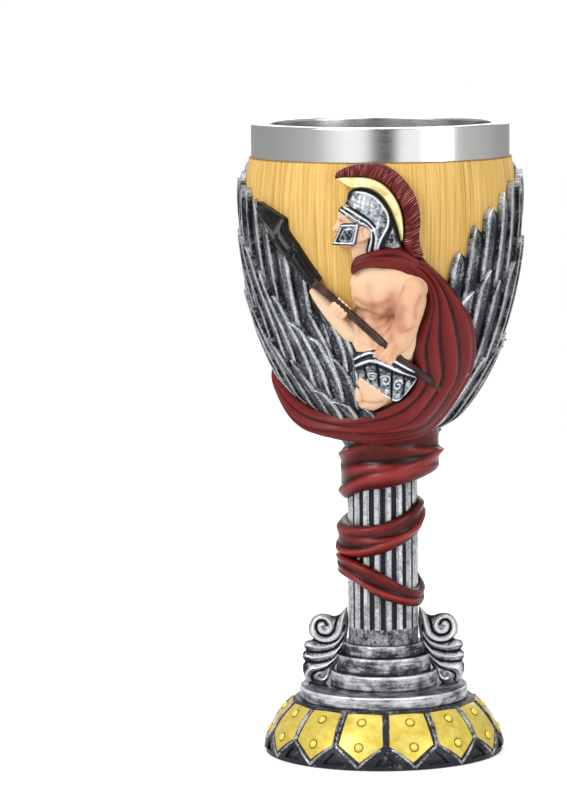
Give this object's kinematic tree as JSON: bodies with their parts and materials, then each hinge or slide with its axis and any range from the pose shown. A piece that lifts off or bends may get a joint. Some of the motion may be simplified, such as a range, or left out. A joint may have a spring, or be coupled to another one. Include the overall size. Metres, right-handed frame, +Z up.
{
  "type": "stemmed goblet",
  "caption": "Stemmed drinking goblet with a lift-out steel liner and raised classical warrior reliefs, feather wings and a wound cape round a fluted column.",
  "frame": {"origin": "centre of the flat underside of the foot, on the goblet's axis", "axes": "+Z up along the goblet's axis to the rim; -Y towards the side with the warrior seen in profile; +X to that side's right"},
  "size_m": [0.0853, 0.0914, 0.19],
  "materials": {
    "brushed_steel": "brushed, vertical sheen",
    "tan_wall": "painted tan with fine vertical wood grain, satin",
    "antique_silver": "black paint with silver dry-brushed high spots",
    "feather_black": "black paint with silver dry-brushed feather edges",
    "cape_red": "dark red paint, semi-gloss, darker in the folds",
    "skin": "painted skin tone, satin",
    "gold": "antique gold paint, satin",
    "helmet_silver": "antique silver paint, satin",
    "crest_red": "dark red paint, satin",
    "shaft_brown": "dark brown paint, satin",
    "spear_black": "black paint, satin",
    "shield_yellow": "yellow-cream paint with dark wash, satin",
    "plaque_gold": "satin gold paint"
  },
  "bodies": {
    "goblet": {"bowl_shell": "tan_wall", "capital": "antique_silver", "column": "antique_silver", "step_upper": "antique_silver", "step_middle": "antique_silver", "step_lower": "antique_silver", "plinth_disc": "antique_silver", "foot": "antique_silver", "scroll_left": "antique_silver", "scroll_right": "antique_silver", "wing_left": "feather_black", "wing_right": "feather_black", "feathers_rear_right": "feather_black", "feathers_rear_left": "feather_black", "cape_turn_upper": "cape_red", "cape_turn_middle": "cape_red", "cape_turn_lower": "cape_red", "cape_front": "cape_red", "cape_sweep": "cape_red", "cape_collar": "cape_red", "cape_rear_band": "cape_red", "cape_swirl": "cape_red", "cape_shoulder": "cape_red", "cape_side": "cape_red", "near_arm": "skin", "far_hand": "skin", "thigh": "skin", "torso": "skin", "head": "skin", "rear_arm": "skin", "rear_face": "skin", "kilt": "helmet_silver", "crest_holder": "gold", "helmet": "helmet_silver", "rear_helmet": "helmet_silver", "helmet_crest": "crest_red", "dogtooth_ring": "crest_red", "spear_shaft": "shaft_brown", "spear_head": "spear_black", "sword_blade": "helmet_silver", "sword_hilt": "gold", "shield": "shield_yellow", "plaque_01": "plaque_gold", "plaque_02": "plaque_gold", "plaque_03": "plaque_gold", "plaque_04": "plaque_gold", "plaque_05": "plaque_gold", "plaque_06": "plaque_gold", "plaque_07": "plaque_gold", "plaque_08": "plaque_gold", "plaque_09": "plaque_gold", "plaque_10": "plaque_gold", "plaque_11": "plaque_gold", "plaque_12": "plaque_gold", "plaque_13": "plaque_gold", "plaque_14": "plaque_gold"},
    "liner": {"steel_liner": "brushed_steel"}
  },
  "joints": [
    {"name": "liner_lift", "type": "slide", "parent": "goblet", "child": "liner", "axis": [0, 0, 1], "range_m": [0, 0.085]}
  ]
}
